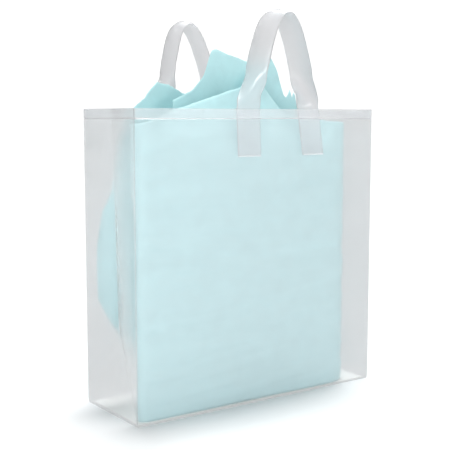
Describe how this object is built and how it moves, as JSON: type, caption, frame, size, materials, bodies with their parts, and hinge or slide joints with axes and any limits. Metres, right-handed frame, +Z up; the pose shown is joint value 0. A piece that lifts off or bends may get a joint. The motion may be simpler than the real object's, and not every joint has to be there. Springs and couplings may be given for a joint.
{
  "type": "gusseted plastic carrier bag",
  "caption": "Frosted film carrier bag with a flat base, folded side gussets, soft loop handles, and loose tissue paper standing in it.",
  "frame": {"origin": "middle of the flat base, on the surface that the bag stands on", "axes": "+X along the width, with the front panel facing -Y and the side gussets facing -X and +X; +Z up towards the handles"},
  "size_m": [0.406, 0.1758, 0.5477],
  "materials": {
    "frosted_film": "frosted translucent polythene film",
    "strap_film": "milky white strap of flattened film tube",
    "white_board": "uncoated white card",
    "aqua_tissue": "thin matt tissue paper"
  },
  "bodies": {
    "root": {"bag_body": "frosted_film", "base_board": "white_board", "front_handle": "strap_film", "rear_handle": "strap_film", "tissue_front": "aqua_tissue", "tissue_middle": "aqua_tissue", "tissue_right": "aqua_tissue", "tissue_rear": "aqua_tissue"}
  },
  "joints": []
}
